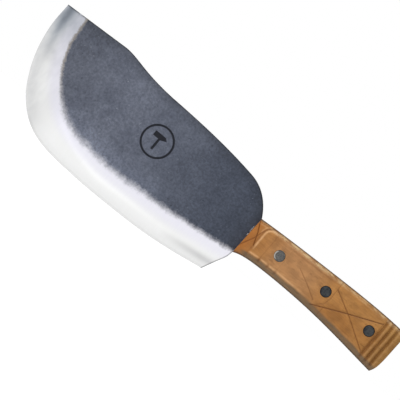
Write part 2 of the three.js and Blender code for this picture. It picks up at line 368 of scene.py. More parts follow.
def grip_line(t, w):
    """Points of the grip's side view: t runs from the blade to the butt, and w from bottom to top."""
    t, w = np.broadcast_arrays(np.asarray(t, float), np.asarray(w, float))
    x = front_x(w) + (butt_x(w) - front_x(w)) * t
    return np.column_stack([x, grip_bottom(x) + (grip_top(x) - grip_bottom(x)) * w])


def grip_ring(front=0, butt=0, bottom=0, top=0):
    """The bottom, butt, top and front lines of the grip, each moved inwards by its distance."""
    t0, t1 = front / GRIP_LENGTH, 1 - butt / GRIP_LENGTH
    w0, w1 = bottom / GRIP_DEPTH, 1 - top / GRIP_DEPTH
    run, rise = np.linspace(t0, t1, RING_POINTS), np.linspace(w0, w1, RING_POINTS)
    sides = [grip_line(run, w0), grip_line(t1, rise), grip_line(run[::-1], w1), grip_line(t0, rise[::-1])]
    return [resample(side, RING_STEP) for side in sides]


def rivet_holes(radius, steps):
    return [circle(x, z, radius + CLEARANCE, steps) for x, z in RIVETS.values()]


# ---- outline of the blade -----------------------------------------------------------------------

TIP, HEEL = (-255.6, 36.6), (-74, -41.6)
EDGE_POINTS = [
    TIP, (-255.7, 19), (-252.6, 1), (-246.2, -15.9), (-236.4, -30.9), (-222.4, -42.1),
    (-205.2, -47.5), (-180, -49.3), (-150, -49.45), (-122, -48.4), (-98, -45.7), HEEL,
]
GRIND_POINTS = [
    (-239.4, 42), (-239.1, 31), (-237.8, 19), (-234.7, 9), (-228.9, -2), (-221.1, -12), (-209.5, -21.5),
    (-195, -26.6), (-178, -28.6), (-160, -29.2), (-140, -27.9), (-118, -26.2), (-95, -23.5), (-75, -20.6),
    (-66, -18.9), (-55, -17.6),
]
HEEL_POINTS = [HEEL, (-69.6, -32.3), (-66, -24.9)]
SPINE_CURVES = [  # from the wood, over the shoulder and along the back, to the rise behind the tip
    [(-64.2, 10.3), (-70.1, 20.6), (-78, 26.6), (-88, 28.2)],
    [(-88, 28.2), (-106.6, 31.1), (-127.7, 33), (-162, 33.6)],
    [(-162, 33.6), (-188.6, 34.7), (-195.7, 39.4), (-207, 39.4)],
]
MESH_STEP = 1.0

grip_sides = grip_ring()
edge_line = smooth_curve(EDGE_POINTS, MESH_STEP)
grind_line = smooth_curve(GRIND_POINTS, MESH_STEP)
heel_line = smooth_curve([*HEEL_POINTS, grip_sides[0][0]], MESH_STEP)
spine_knots = [joined([bezier(*curve) for curve in SPINE_CURVES]), SPINE_CURVES[-1][-1], TIP]
spine_line = resample(np.vstack(spine_knots), MESH_STEP)

# ---- node materials -----------------------------------------------------------------------------


def srgb(red, green, blue):
    """A colour given on the 0 to 255 scale of a screen, as the shaders take it."""
    linear = [(c / 255 + 0.055) / 1.055 for c in (red, green, blue)]
    return (*[c**2.4 for c in linear], 1)


class Shader:
    """A principled material under construction. Values that vary are node sockets."""

    def __init__(self, name):
        self.material = bpy.data.materials.new(name)
        self.material.use_nodes = True
        self.tree = self.material.node_tree
        self.surface = self.tree.nodes["Principled BSDF"]
        self.place = self.node("ShaderNodeTexCoord").outputs["Object"]

    def node(self, kind, inputs=(), **settings):
        node = self.tree.nodes.new(kind)
        for key, value in settings.items():
            setattr(node, key, value)
        self.set_inputs(node, dict(inputs))
        return node

    def set_inputs(self, node, inputs):
        for key, value in inputs.items():
            if isinstance(value, bpy.types.NodeSocket):
                self.tree.links.new(value, node.inputs[key])
            else:
                node.inputs[key].default_value = value

    def value(self, name):
        """A number stored on the mesh's points."""
        return self.node("ShaderNodeAttribute", attribute_name=name).outputs["Fac"]

    def axis(self, name):
        """A coordinate in millimetres."""
        split = self.node("ShaderNodeSeparateXYZ", {0: self.place})
        return self.product(split.outputs[name], 1000)

    def math(self, operation, a, b):
        return self.node("ShaderNodeMath", {0: a, 1: b}, operation=operation).outputs[0]

    def product(self, *values):
        return reduce(lambda a, b: self.math("MULTIPLY", a, b), values)

    def total(self, *values):
        return reduce(lambda a, b: self.math("ADD", a, b), values)

    def span(self, value, low, high, to_low=0.0, to_high=1.0):
        """value carried from low..high to to_low..to_high, held at both ends."""
        inputs = {0: value, 1: low, 2: high, 3: to_low, 4: to_high}
        return self.node("ShaderNodeMapRange", inputs, interpolation_type="SMOOTHSTEP").outputs[0]

    def noise(self, size, detail=3, roughness=0.55, stretch=(1, 1, 1), turn=(0, 0, 0)):
        """Noise from 0 to 1 with features about size millimetres across, longer along stretch."""
        scale = [1000 / (size * s) for s in stretch]
        at = self.node("ShaderNodeMapping", {"Vector": self.place, "Rotation": turn, "Scale": scale})
        inputs = {"Vector": at.outputs[0], "Scale": 1, "Detail": detail, "Roughness": roughness}
        return self.node("ShaderNodeTexNoise", inputs).outputs["Fac"]

    def mix(self, share, a, b, blend="MIX"):
        node = self.node("ShaderNodeMix", data_type="RGBA", blend_type=blend, clamp_factor=True)
        self.set_inputs(node, {0: share, 6: a, 7: b})
        return node.outputs[2]

    def mix_value(self, share, a, b):
        node = self.node("ShaderNodeMix", data_type="FLOAT", clamp_factor=True)
        self.set_inputs(node, {0: share, 2: a, 3: b})
        return node.outputs[0]

    def times(self, colour, value):
        """colour made lighter or darker by a number."""
        return self.node("ShaderNodeVectorMath", {0: colour, 3: value}, operation="SCALE").outputs[0]

    def bump(self, height, depth):
        """A height from 0 to 1 as a bump of that depth in millimetres."""
        return self.node("ShaderNodeBump", {"Height": height, "Distance": depth * MM}).outputs[0]

    def finish(self, **inputs):
        self.set_inputs(self.surface, {key.replace("_", " "): value for key, value in inputs.items()})
        return self.material


def forge_scale(s, mottle, grit):
    """Blue-grey scale with specks, scratches and pits, with painted shade towards the heel, the shoulder, the
    tip and the border, and a painted sheen just above the grind line.
    """
    dark, light, engraving = srgb(88, 93, 107), srgb(110, 115, 129), srgb(4, 9, 23)
    speck, scratch, pit = srgb(150, 155, 166), srgb(146, 150, 160), srgb(46, 51, 62)
    heel_shade = (0.42, 0.46, 0.51, 1)
    x, border = s.axis("X"), s.value("border")

    patches = s.total(s.product(s.noise(24, 2), 0.45), s.product(mottle, 0.55))
    scale = s.mix(s.span(patches, 0.32, 0.68), dark, light)
    scale = s.times(scale, s.span(grit, 0.28, 0.72, 0.77, 1.23))
    specks, sparse = s.span(s.noise(1.7, 2, 0.5), 0.66, 0.73), s.span(s.noise(14, 1), 0.5, 0.62)
    scale = s.mix(s.product(sparse, 0.6, specks), scale, speck)
    for turn in (0.6, -0.7):
        scratches = s.span(s.noise(1.0, 1, 0.4, (6, 1, 1), (0, turn, 0)), 0.73, 0.79)
        scale = s.mix(s.product(scratches, 0.25), scale, scratch)
    pits = s.span(s.noise(2.4, 2, 0.5), 0.31, 0.25)
    scale = s.mix(s.product(pits, 0.5), scale, pit)

    # Painted shade: the scale darkens towards the heel, at the shoulder, at the tip and near the spine and
    # heel edges
    scale = s.mix(s.span(x, -180, -75), scale, heel_shade, "MULTIPLY")
    shoulder, tip = s.span(x, -80, -66, 1, 0.88), s.span(x, -240, -180, 0.74, 1)
    # Painted sheen: the scale is lightened towards the grind line along the middle of the blade
    sheen_stretch = s.product(s.span(x, -222, -205), s.span(x, -116, -140))
    painted_sheen = s.mix_value(sheen_stretch, 1, s.span(s.value("ground"), -17, -1, 1, 1.36))
    near_border, at_border = s.span(border, 0, 9, 0.68, 1), s.span(border, 0.2, 1.2, 0.35, 1)
    for shade in (shoulder, painted_sheen, tip, near_border, at_border):
        scale = s.times(scale, shade)
    # The mark's floor is painted near black: scale and dirt in the recess, and painted shade
    return s.mix(s.value("mark"), scale, engraving)


def bright_steel(s, streaks):
    """Ground steel: nearly white, bluer where the mesh's tone value, a painted reflection, is low, and dark
    with painted shade at the very border.
    """
    upper, lower, streak = srgb(240, 238, 250), srgb(247, 247, 245), srgb(253, 253, 254)
    shaded_low, shaded_high = srgb(240, 240, 246), srgb(216, 226, 240)
    tone = s.value("tone")

    bright = s.mix(s.span(s.value("ground"), 4, 12), upper, lower)
    bright = s.mix(s.product(streaks, 0.7), bright, streak)
    shaded = s.mix(s.span(s.axis("Z"), -10, 20), shaded_low, shaded_high)
    bright = s.mix(s.span(tone, 0.2, 0.75), shaded, bright)
    # Painted reflection from the tone value, and painted shade along the spine and heel edges
    return s.times(s.times(bright, tone), s.span(s.value("border"), 0.2, 1.1, 0.4, 1))


def grind_feather(s):
    """A ragged crossing of the grind line, from -1 on the scale to 1 on the ground steel."""
    line = s.math("DIVIDE", s.value("ground"), s.value("soft"))
    ragged = s.math("POWER", s.value("soft"), -0.5)
    for size, reach in ((1.1, 1.4), (3.2, 2.6), (9, 1.9)):
        feather = s.product(s.math("SUBTRACT", s.noise(size, 4, 0.7), 0.5), ragged)
        line = s.total(line, s.product(feather, reach))
    return line


def forged_steel():
    """Dark forge scale, feathering into bright ground steel where the mesh's ground value turns positive."""
    s = Shader("forged_steel")
    mottle, grit = s.noise(5, 5, 0.66), s.noise(1.6, 4, 0.66)
    streaks = s.noise(0.9, 3, 0.6, (1, 1, 14), (0, 0.25, 0))
    line = grind_feather(s)
    ground = s.span(line, -1, 1)
    stain = s.product(s.span(line, -0.8, 0), s.span(line, 0.9, 0.2), s.span(s.axis("Z"), -22, 10, 0.05, 0.5))
    colour = s.mix(ground, forge_scale(s, mottle, grit), bright_steel(s, streaks))
    height = s.mix_value(ground, s.total(s.product(grit, 0.3), mottle), 0.6)
    height = s.total(height, s.product(ground, 0.06, streaks))
    return s.finish(
        Base_Color=s.mix(stain, colour, srgb(134, 122, 100)),
        Metallic=s.mix_value(ground, 0.35, 1),
        Roughness=s.mix_value(ground, s.span(mottle, 0.3, 0.7, 0.5, 0.62), 0.34),
        Normal=s.bump(height, 0.22),
    )


def wood_grain(s, cloudy, fibre, pores):
    """Brown wood before the painted light and wear: orange in front as painted light on the front slope, pink
    round the front rivet, greener at the butt.
    """
    dark, light, pink, orange = srgb(164, 107, 50), srgb(184, 127, 68), srgb(194, 145, 99), srgb(180, 104, 30)
    ring, pale_fibre, pore = srgb(142, 90, 48), srgb(200, 150, 98), srgb(112, 68, 34)
    middle_tint, butt_tint = (0.99, 1.01, 0.91, 1), (0.82, 0.92, 0.9, 1)
    x = s.axis("X")

    rings = s.math("FRACT", s.product(s.noise(7, 2, 0.5, (9, 1, 1), (0, 0.03, 0)), 9), 0)
    bands = s.product(s.span(rings, 0, 0.75), s.span(rings, 1, 0.8))
    blotch = s.noise(17, 2, 0.5, (1.6, 1, 1))
    wood = s.mix(s.span(blotch, 0.32, 0.68), dark, light)
    wood = s.mix(s.product(s.span(x, -54, -36), s.span(x, 6, -16), 0.6), wood, pink)
    wood = s.mix(s.span(x, -22, 22), wood, middle_tint, "MULTIPLY")
    wood = s.mix(s.span(x, 36, 56), wood, butt_tint, "MULTIPLY")
    wood = s.times(wood, s.span(cloudy, 0.3, 0.7, 0.85, 1.15))
    wood = s.mix(s.product(bands, 0.16), wood, ring)
    wood = s.mix(s.product(s.span(fibre, 0.35, 0.7), 0.16), wood, pale_fibre)
    wood = s.mix(s.product(pores, 0.3), wood, pore)
    # Painted light: the front slope is painted a more saturated orange for the way it faces the light
    return s.mix(s.span(x, -53, -65, 0, 0.6), wood, orange)


def wood_wear(s, wood):
    """The wood with a painted highlight along its top edge and on the step's rim, the ridge over the lower
    edge and the groove crests, painted grey shade along the lower edge, dark corners, and painted shade in
    the cuts.
    """
    top_highlight, crest, edge, cut = srgb(222, 188, 138), srgb(238, 186, 132), srgb(62, 44, 24), srgb(104, 58, 22)
    lower_shade_dark, lower_shade_light = srgb(104, 80, 52), srgb(142, 118, 90)
    painted_light_breakup = s.noise(2.4, 4, 0.7, (2.2, 1, 1))

    # Painted highlight along the top edge, broken up by noise
    wood = s.mix(s.product(s.value("upper"), s.span(painted_light_breakup, 0.4, 0.6)), wood, top_highlight)
    # Painted highlight on the step's rim, the ridge over the lower edge and the groove crests
    wood = s.mix(s.product(s.value("light"), s.span(painted_light_breakup, 0.3, 0.55, 0.35, 1)), wood, crest)
    # Painted shade, grey-brown, on the lower rounded side that faces down
    shade_streaks = s.span(s.noise(1.2, 3, 0.6, (6, 1, 1)), 0.25, 0.6, 0.6, 1)
    wood = s.mix(s.product(s.value("lower"), shade_streaks), wood, s.mix(painted_light_breakup, lower_shade_dark, lower_shade_light))
    wood = s.mix(s.product(s.value("outer"), 0.85), wood, edge)
    # Painted shade in the carved lines, nicks and grooves, at the step's foot and along the top chamfer
    return s.mix(s.product(s.value("cut"), 0.85), wood, cut)


def carved_wood():
    """Oiled brown wood with its grain along X, darker in the cuts and greyer round the lower edge, both
    painted shade.
    """
    s = Shader("carved_wood")
    cloudy, fibre = s.noise(4.5, 4, 0.6, (1.5, 1, 1)), s.noise(0.45, 3, 0.65, (26, 1, 1))
    pores = s.span(s.noise(0.4, 2, 0.5, (14, 1, 1)), 0.69, 0.77)
    height = s.total(s.product(fibre, 0.4), s.product(pores, -0.5), s.product(cloudy, 1.4))
    return s.finish(
        Base_Color=wood_wear(s, wood_grain(s, cloudy, fibre, pores)),
        Roughness=s.span(fibre, 0.3, 0.7, 0.46, 0.62),
        Specular_IOR_Level=0.3,
        Normal=s.bump(height, 0.3),
    )


def rivet_steel():
    """Dark steel, worn pale on one rivet, with a painted highlight along a part of that rivet's rim."""
    s = Shader("rivet_steel")
    dark, light, rim = srgb(36, 39, 43), srgb(70, 72, 73), srgb(22, 24, 30)
    worn_dark, worn_light = srgb(66, 70, 72), srgb(128, 124, 118)
    scratch, rim_highlight = srgb(138, 140, 142), srgb(200, 192, 182)
    cloudy, grit = s.noise(2.6, 3, 0.6), s.noise(0.5, 3, 0.6)
    steel = s.mix(s.span(cloudy, 0.3, 0.7), dark, light)
    steel = s.mix(s.value("worn"), steel, s.mix(s.span(grit, 0.35, 0.65), worn_dark, worn_light))
    scratches = s.span(s.noise(0.5, 1, 0.4, (12, 1, 1), (0, 0.8, 0)), 0.7, 0.76)
    steel = s.mix(s.product(scratches, 0.4), steel, scratch)
    # Painted highlight: a bright crescent on part of the worn rivet's rim
    steel = s.mix(s.product(s.value("bright"), 0.8), steel, rim_highlight)
    return s.finish(
        Base_Color=s.mix(s.value("ring"), steel, rim),
        Metallic=0.55,
        Roughness=s.span(grit, 0.3, 0.7, 0.42, 0.58),
        Normal=s.bump(s.total(grit, cloudy), 0.08),
    )


def cured_glue():
    s = Shader("cured_glue")
    cloudy = s.noise(2.5, 3, 0.6)
    return s.finish(
        Base_Color=s.mix(s.span(cloudy, 0.3, 0.7), srgb(112, 112, 118), srgb(196, 194, 198)),
        Roughness=s.span(cloudy, 0.3, 0.7, 0.35, 0.55),
        Normal=s.bump(s.noise(0.8, 3), 0.1),
    )


# ---- blade and tang -----------------------------------------------------------------------------

MARK = np.array([-151, 4.5])
MARK_RADIUS, MARK_LINE, MARK_DEPTH = 12, 1.7, 0.35
HAMMER_HEAD = MARK + [(-5.4, 5.6), (-5.4, 1.6), (0.95, 1.6), (5.4, 3.6), (3.24, 5.6)]
HAMMER_HANDLE = MARK + [(-0.95, 2), (-0.95, -6.6), (0.95, -6.6), (0.95, 2)]
MARK_WALL = 0.3  # how far the sloping walls of the mark reach
MARK_STEP, MARK_RING_STEPS = 0.3, 120  # spacing of the mark's seeds, and points round its rings

CREASE = 0.42  # where the sharpening bevel starts, as a share of the ground band
SECTION = [(0, PLATE / 2), (CREASE, 1.38), (0.93, 0.34), (1, 0.1)]  # half thickness over the band
GROUND_TOP, GROUND_END = 37.6, -65.6  # where the grind line leaves the blade: Z at the tip, X at the heel
EDGE_ROUNDING, ROUNDING_DEPTH = 0.8, 0.5
TANG_START, TANG_GROUND = -63.5, -8  # X from which the plate is all tang, and its ground value there
BLADE_LOW, BLADE_HIGH = (-256, -50), (-62, 41)  # rectangle of the blade's seeds
HAMMERING = [(0.09, 24, 11), (0.06, 10, 21), (0.025, 4, 31)]  # depth, cell and seed of its layers
HAMMERED_AWAY = 0.08  # how far the hammered face is lowered, so that its bumps hardly stand proud
GRIND_LEAVES, GRIND_FADE = 0.25, 4  # share of the hammering left past the grind line, and its reach
FLAT_END, FORGED_START = -65.5, -72  # flat behind the first X, and fully hammered before the second

BASE_TONE = 0.86
# Where the crease of the sharpening bevel catches the light: X, distance below the grind, brightness
GLINT = [
    (-216, 3.5, 0), (-205, 4.5, 0.05), (-190, 7.5, 0.06), (-170, 10.3, 0.09),
    (-150, 10.2, 0.08), (-120, 11.4, 0.04), (-100, 12, 0.02), (-80, 8, 0),
]
# How softly the scale gives way to ground steel: X, and reach on each side of the grind line
FEATHER = [(-232, 1.7), (-222, 2.4), (-212, 3.8), (-160, 3.8), (-116, 3.4), (-100, 2.4)]


def mark_depth(points):
    """The smith's mark, a ring with a hammer in it: 1 at its floor and 0 outside it."""
    ring = MARK_LINE / 2 - np.abs(np.hypot(*(points - MARK).T) - (MARK_RADIUS - MARK_LINE / 2))
    deep = np.maximum(ring, inside_convex(points, HAMMER_HEAD))
    deep = np.maximum(deep, inside_convex(points, HAMMER_HANDLE))
    return smoothstep(deep, 0, MARK_WALL)


def steel_tone(points, ground, to_edge):
    """How much light the ground steel is painted as sending back, from 0 to 1: a painted reflection, with a
    painted glint and painted shade.
    """
    x, z = points.T
    glint_x, glint_place, glint_gain = np.transpose(GLINT)
    belly, tip = smoothstep(x, -222, -205), smoothstep(x, -222, -232)

    # Painted shade towards the tip, near the edge, in two dim bands and at the corner; the glint is a painted
    # highlight
    turned = 0.1 * smoothstep(x, -205, -226)
    tip_middle = 0.09 * smoothstep(z, -10, 8) * tip
    tip_top = 0.13 * smoothstep(z, 8, 32) * tip
    glint = np.interp(x, glint_x, glint_gain) * around(ground, np.interp(x, glint_x, glint_place), 2.3)
    edge_shade = 0.05 * smoothstep(to_edge, 7, 1.5) * belly + 0.1 * around(to_edge, 0.9, 0.8) * (1 - tip)
    dim_band_at_tip = (0.15 * smoothstep(z, -4, 10) + 0.13 * smoothstep(z, 12, 28)) * around(ground, 12.4, 3.5)
    dim_band_at_heel = np.interp(x, (-112, -95, -80), (0, 0.16, 0.24)) * around(ground, 14.6, 2.5)
    corner = 0.09 * smoothstep(x, -216, -228) * smoothstep(z, 12, -6) * smoothstep(to_edge, 12, 3)
    brushed = 0.025 * (noise(points, (3, 7), 81) + noise(points, (1.3, 3), 82)) * tip
    tone = BASE_TONE - turned - tip_middle - tip_top + glint
    tone += -edge_shade - dim_band_at_tip - dim_band_at_heel - corner + brushed
    return np.clip(tone, 0, 1)


def crease_line():
    """Where the sharpening bevel starts, a fixed share of the way from the edge to the grind line."""
    ground_part = grind_line[(grind_line[:, 1] < GROUND_TOP) & (grind_line[:, 0] < GROUND_END)]
    steps = np.arange(len(ground_part))
    step = steps[-1] * np.linspace(0, 1, len(edge_line))
    opposite = np.column_stack([np.interp(step, steps, ground_part[:, axis]) for axis in (0, 1)])
    return edge_line + (opposite - edge_line) * (1 - CREASE)


def blade_layout():
    """The triangulated side view of blade and tang, finer in the mark."""
    shoulder = np.vstack([grip_sides[2][-1:], spine_line])
    outline = joined([edge_line, heel_line, *grip_sides[:3], shoulder])
    reach = MARK_RADIUS + 1
    coarse = grid(BLADE_LOW, BLADE_HIGH, MESH_STEP)
    far = np.hypot(*(coarse - MARK).T) > reach
    fine = grid(MARK - reach, MARK + reach, MARK_STEP)
    near = np.hypot(*(fine - MARK).T) < reach
    lines = [grind_line, crease_line()[2:-2]]
    lines += [closed(circle(*MARK, r, MARK_RING_STEPS)) for r in (MARK_RADIUS, MARK_RADIUS - MARK_LINE)]
    holes = rivet_holes(BARREL_RADIUS, BARREL_HOLE_STEPS)
    return triangulate(outline, holes, lines, np.vstack([coarse[far], fine[near]]))


def blade_faces(flat, ground, to_edge, border, mark):
    """Y of the front and back faces at each point."""
    share = np.where(ground > 0, ground / (ground + to_edge + TINY), 0)
    half = np.interp(share, *zip(*SECTION))
    lost = ROUNDING_DEPTH * np.clip(1 - border / EDGE_ROUNDING, 0, 1) ** 2
    half = half - lost * half / (PLATE / 2)
    left_by_grind = np.where(ground > 0, GRIND_LEAVES * np.exp(-ground / GRIND_FADE), 1)
    forged = left_by_grind * smoothstep(flat[:, 0], FLAT_END, FORGED_START)
    faces = []
    for side, engraved in ((FRONT, mark), (BACK, 0 * mark)):
        hammered = unevenness(flat, HAMMERING, side) - HAMMERED_AWAY
        faces.append(side * (half + hammered * forged - engraved * MARK_DEPTH))
    return faces


def make_blade(material):
    flat, triangles = blade_layout()
    to_grind, left = to_line(flat, grind_line)
    ground = np.where(flat[:, 0] < TANG_START, -to_grind * left, TANG_GROUND)
    to_edge = to_line(flat, edge_line)[0]
    border = np.minimum(to_line(flat, spine_line)[0], to_line(flat, heel_line)[0])
    mark = mark_depth(flat)
    mesh = make_plate("forged_blade", flat, triangles, *blade_faces(flat, ground, to_edge, border, mark))
    values = {
        "ground": ground,
        "border": border,
        "tone": steel_tone(flat, ground, to_edge),
        "soft": np.interp(flat[:, 0], *zip(*FEATHER)),
    }
    for name, value in values.items():
        set_values(mesh, name, np.tile(value, 2))
    set_values(mesh, "mark", np.concatenate([mark, 0 * mark]))
    make_object("forged_blade", mesh, material, "blade_and_tang", 28)


# ---- wooden scales ------------------------------------------------------------------------------

ROUNDING = {"front": (0.9, 0.5), "butt": (1.7, 1.3), "top": (3.5, 3.5), "bottom": (5.2, 3.7)}  # inset, drop
ROUNDING_WOBBLE = [(0.12, (9, 30), 41)]  # depth, cell and seed, as in every list of noise layers
MOST_FALL = 4.4  # a corner where two rounded sides meet drops no further than this
RING_SHARES = (0.12, 0.3, 0.55, 0.8, 1)  # where rings of edges follow the rounding
FACE_WEAR = 0.12  # how far the whole face is worn down
STEP_X, STEP_TOP, STEP_CORNER = -55.6, 8.2, 4.8  # X, top and corner radius of the front step's rim
STEP_DEPTH, STEP_SLOPE = 1.3, 1.3
GROOVE_X, GROOVE_WIDTH, GROOVE_DEPTH = (45.2, 49.6, 54), 3.2, 1.3
GROOVE_WANDER = [(0.25, (200, 8), 51)]
CUT_WIDTH, CUT_DEPTH = 1.3, 0.55
CUTS = [  # carved lines, each with its depth as a share of CUT_DEPTH
    ([(-3, -13.2), (20, -2.4), (43.9, 8)], 0.9),
    ([(5.5, 6.2), (24, -3.6), (44.1, -16.1)], 0.7),
    ([(5.2, 12), (5.4, -2), (4.4, -7), (0.5, -10.6)], 0.4),
    ([(5.2, -15.5), (5.4, -10)], 0.35),
    ([(-23.3, 0.9), (-12, -4.6), (-3.2, -9.8)], 0.5),
    ([(-64.2, 8.8), (-60.3, 1.2), (-57, -7.4)], 0.9),
    ([(-64.8, -13), (-60, -3.6), (-57.4, 5)], 0.7),
    ([(43.7, -17), (43.8, -4), (43.7, 9)], 0.5),
    ([(-48.2, -10.4), (-48, 9)], 0.25),
    ([(-34.5, -10.8), (-34.2, 9.6)], 0.15),
]
NICKS = [(-48.1, 1), (-41, 0.65), (-34.5, 0.5)]  # X and strength of the nicks over the lower edge
NICK_HEIGHT, NICK_DEPTH, NICK_SIZE, NICK_STRETCH = 3.9, 0.4, 0.85, 1.6
WOOD_UNEVENNESS = [(0.08, (22, 12), 61), (0.04, (8, 5), 71)]
WOOD_STEP, CUT_STEP = 0.6, 0.8
WOOD_LOW, WOOD_HIGH = (-66, -24), (61, 14.5)  # rectangle of the wood's seeds


def edge_distances(x, z):
    """Each point's distance from the four sides of the grip."""
    low, high = grip_bottom(x), grip_top(x)
    w = np.clip((z - low) / (high - low), 0, 1)
    return {"front": x - front_x(w), "butt": butt_x(w) - x, "top": high - z, "bottom": z - low}


def rounded_falls(points, away, side):
    """How far each rounded side takes the face down."""
    wobble = 1 + unevenness(points, ROUNDING_WOBBLE, side)
    return {
        name: drop * np.clip(1 - away[name] / (inset * wobble), 0, 1) ** 1.5
        for name, (inset, drop) in ROUNDING.items()
    }


def step_marks(x, z):
    """The front step: how far down the face is, where its rim gets a painted highlight, and where its foot is
    dark with painted shade.
    """
    beside = STEP_X + STEP_CORNER - x
    above = z - (STEP_TOP - STEP_CORNER)
    outside = np.hypot(np.maximum(beside, 0), np.maximum(above, 0)) - STEP_CORNER
    outside += np.minimum(np.maximum(beside, above), 0)
    fading = smoothstep(x, -44, -51)
    upper = smoothstep(z, 0, 5)
    down = smoothstep(outside, 0, STEP_SLOPE) * fading
    rim = around(outside, 0.4, 0.6) * smoothstep(z, -10.5, -7) + 0.5 * around(outside, 2.8, 0.5) * upper
    foot = around(outside, 1.7, 0.55) * (0.35 + 0.5 * upper)
    return down * STEP_DEPTH, rim * fading, foot * fading


def line_marks(points):
    """Depth and painted shade of the carved lines."""
    carved, cut = np.zeros((2, len(points)))
    for line, strength in CUTS:
        open_width = CUT_WIDTH / 2 * (0.7 + 0.3 * strength)
        depth = np.clip(1 - to_line(points, np.array(line, float))[0] / open_width, 0, 1)
        carved = np.maximum(carved, depth * CUT_DEPTH * strength)
        cut = np.maximum(cut, depth * strength)
    return carved, cut


def nick_marks(x, above):
    """Depth and painted shade of the nicks, and the painted highlight on the ridge over the lower edge that
    they break.
    """
    carved, cut = np.zeros((2, len(x)))
    ridge = around(above, ROUNDING["bottom"][0] - 0.2, 0.6)
    ridge *= smoothstep(x, -57.5, -56) * (1 - 0.85 * smoothstep(x, -28, -6))
    for nick, strength in NICKS:
        near = around(np.hypot(x - nick, (above - NICK_HEIGHT) / NICK_STRETCH), 0, NICK_SIZE)
        carved = np.maximum(carved, near * NICK_DEPTH * strength)
        cut = np.maximum(cut, near * strength)
        ridge *= 1 - 0.9 * around(x, nick, 1.4) * strength
    return carved, cut, ridge


def groove_marks(points, above, side):
    """Depth and painted shade of the grooves at the butt, and the painted highlight on the crests beside
    them.
    """
    carved, cut, crest = np.zeros((3, len(points)))
    end = smoothstep(above, 0.6, 3.5)
    for groove in GROOVE_X:
        across = points[:, 0] - groove - unevenness(points, GROOVE_WANDER, side)
        depth = 0.5 + 0.5 * np.cos(np.clip(2 * math.pi * across / GROOVE_WIDTH, -math.pi, math.pi))
        carved = np.maximum(carved, depth * GROOVE_DEPTH * end)
        cut = np.maximum(cut, 0.6 * depth * end)
        crest = np.maximum(crest, 0.2 * around(across, 2, 0.6) * end)
    return carved, cut, crest


def wood_surface(points, side):
    """Height of a scale over its seat, and the values its material reads, each from 0 to 1."""
    x, z = points.T
    away = edge_distances(x, z)
    falls = rounded_falls(points, away, side)
    fall = np.minimum(np.sqrt(sum(f**2 for f in falls.values())), MOST_FALL)
    step, rim, foot = step_marks(x, z)
    line_depth, line_cut = line_marks(points)
    nick_depth, nick_cut, ridge = nick_marks(x, away["bottom"])
    groove_depth, groove_cut, crest = groove_marks(points, away["bottom"], side)
    carved = np.maximum.reduce([foot * 0.3, line_depth, nick_depth, groove_depth])
    height = SCALE - fall - step - carved + unevenness(points, WOOD_UNEVENNESS, side) - FACE_WEAR

    # Painted shade: a faint dark line where the top chamfer starts
    chamfer_shade = 0.35 * around(away["top"], 4.3, 0.5) * smoothstep(x, -38, -34) * smoothstep(x, 4, -4)
    # How strong the painted highlight on the top edge is along X
    highlight_strength = 0.7 + 0.3 * smoothstep(x, -54, -47) * smoothstep(x, 2, -8)
    corner_reach = 1.3 + 1.2 * around(x, -65, 4)
    # The material reads painted shade from cut and lower, and painted highlights from light and upper
    values = {
        "cut": np.maximum.reduce([foot * 0.8, line_cut, nick_cut, groove_cut, chamfer_shade]),
        "light": np.clip(rim + 0.8 * ridge + crest, 0, 1),
        "upper": smoothstep(away["top"], 3.6, 1.6) * smoothstep(away["top"], 0.2, 0.9) * highlight_strength,
        "lower": smoothstep(falls["bottom"], 0, 0.8) * smoothstep(x, -63.5, -58),
        "outer": smoothstep(np.minimum(away["top"], away["bottom"]), corner_reach, 0.2),
    }
    return height, values


def wood_edges():
    """Lines that the wood's triangles follow: rings down the rounded sides, and each cut's bed and banks."""
    lines = []
    for share in RING_SHARES:
        insets = {key: inset * share for key, (inset, _) in ROUNDING.items()}
        lines.append(closed(joined(grip_ring(**insets))))
    for cut, _ in CUTS:
        line = resample(np.array(cut, float), CUT_STEP)
        run = np.gradient(line, axis=0)
        across = np.column_stack([-run[:, 1], run[:, 0]]) / np.hypot(*run.T)[:, None] * CUT_WIDTH / 2
        lines.extend([line - across, line, line + across])
    return lines


def make_scale(place, side, material):
    holes = rivet_holes(HEAD_RADIUS, TURNING_STEPS)
    seeds = grid(WOOD_LOW, WOOD_HIGH, WOOD_STEP)
    flat, triangles = triangulate(joined(grip_sides), holes, wood_edges(), seeds)
    height, values = wood_surface(flat, side)
    outer, seat = side * (SEAT + height), np.full(len(flat), side * SEAT)
    low_to_high = -side  # slice step: a plate starts at its low Y, which is the outer face in front
    mesh = make_plate(f"{place}_wood", flat, triangles, *[outer, seat][::low_to_high])
    for key, value in values.items():
        at_seat = 0.3 * value
        set_values(mesh, key, np.concatenate([value, at_seat][::low_to_high]))
    make_object(mesh.name, mesh, material, f"{place}_scale", 40)


# ---- glue ---------------------------------------------------------------------------------------

SQUEEZE = {  # beads of glue at the blade's joint: height, half length and radius
    FRONT: [(0.3, 2.7, 0.42), (-4.2, 0.9, 0.5)],
    BACK: [(4, 4, 0.4), (-7, 5, 0.5)],
}
GLUE_LOW, GLUE_HIGH, GLUE_STEP = (-64, -22), (60, 13), 3.0  # rectangle and spacing of the glue's seeds
BEAD_RINGS, BEAD_STEPS = 13, 10
BEAD_AHEAD, BEAD_LIFT = 0.25, 0.1  # how far a bead's middle is before the wood and off the plate


